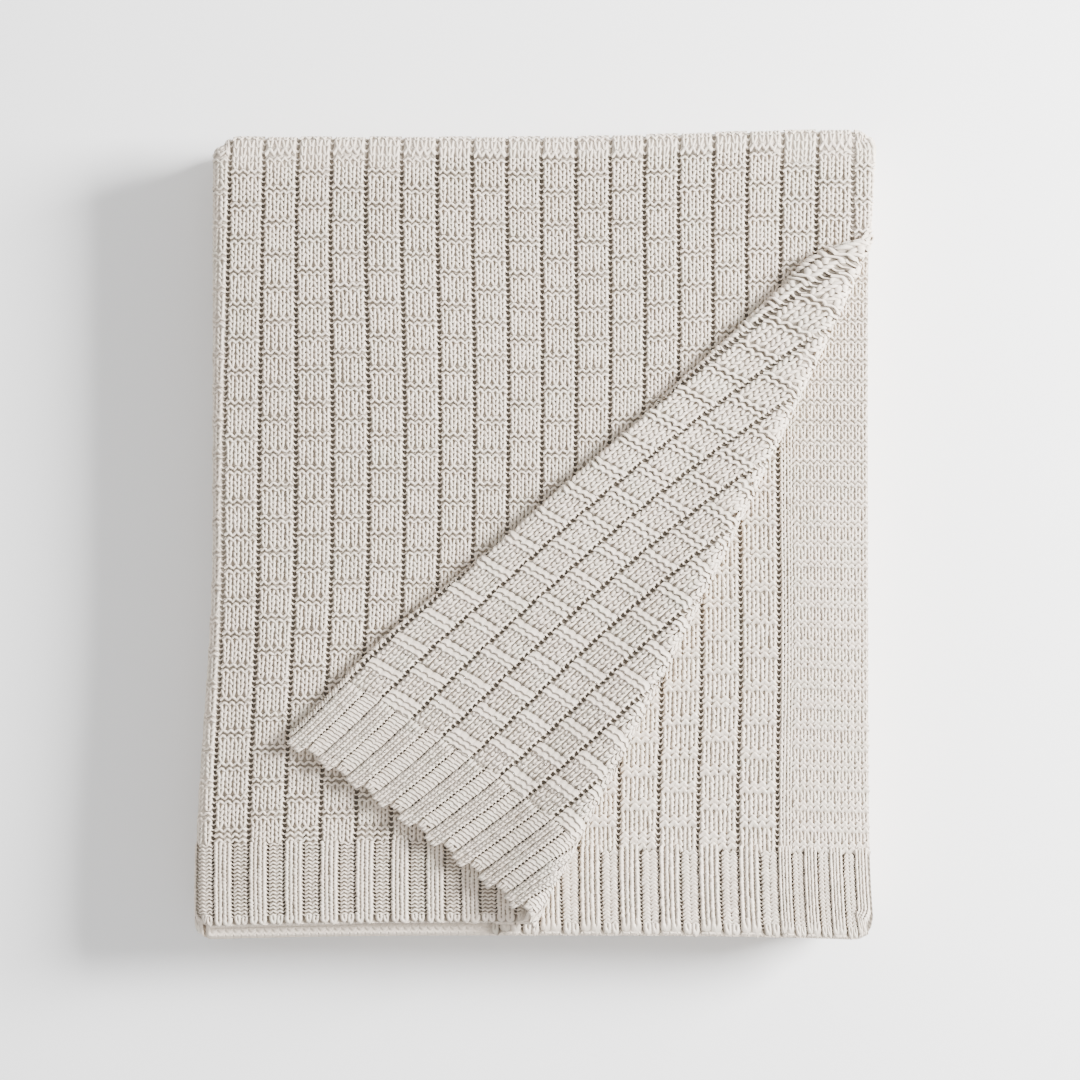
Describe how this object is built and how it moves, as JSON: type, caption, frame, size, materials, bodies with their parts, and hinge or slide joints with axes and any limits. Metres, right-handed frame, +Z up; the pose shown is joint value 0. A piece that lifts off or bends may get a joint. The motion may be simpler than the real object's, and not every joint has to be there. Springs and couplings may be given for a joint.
{
  "type": "folded knitted blanket",
  "caption": "Knitted throw folded into a flat rectangle with one corner of its top layers turned back over it.",
  "frame": {"origin": "middle of the folded blanket's footprint, on the surface that it lies on", "axes": "+Z up through the layers, +Y towards the folded back edge, the ribbed hems at -Y, the long outer folds at -X"},
  "size_m": [0.3272, 0.3915, 0.0588],
  "materials": {
    "oat_yarn": "matt knitted cotton yarn"
  },
  "bodies": {
    "root": {"blanket": "oat_yarn"}
  },
  "joints": []
}
